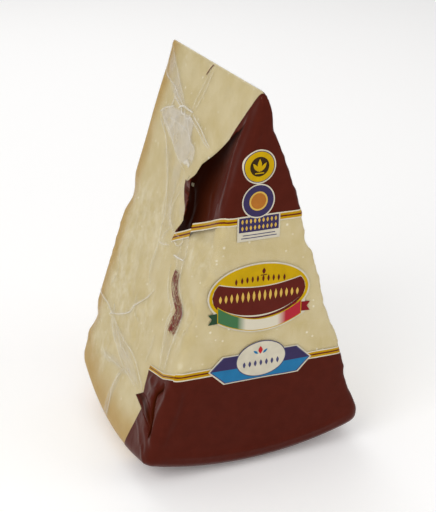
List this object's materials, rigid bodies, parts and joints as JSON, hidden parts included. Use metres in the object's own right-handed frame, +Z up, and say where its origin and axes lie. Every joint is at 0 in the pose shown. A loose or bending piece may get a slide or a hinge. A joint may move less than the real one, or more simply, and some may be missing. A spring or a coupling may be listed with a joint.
{
  "type": "parmesan cheese wedge in vacuum film",
  "caption": "Wedge of aged parmesan standing on its curved rind, sealed in tight clear film with printed brown bands, labels and gathered folds.",
  "frame": {"origin": "under the middle of the pack's bounding box, on the surface that the rind stands on", "axes": "+Z up towards the wheel's hub line, which runs along Y; -Y faces the printed front, the cut at mid height of the wheel; the two radial cuts face -X and +X"},
  "size_m": [0.1336, 0.1236, 0.2167],
  "materials": {
    "cheese": "straw-coloured grainy cheese with a golden rind, satin under the film",
    "film": "clear vacuum film, glossy, milky where it is gathered",
    "print": "brown, yellow, blue and white ink on the film, glossy"
  },
  "bodies": {
    "root": {"wrapped_wedge": "cheese"}
  },
  "joints": []
}
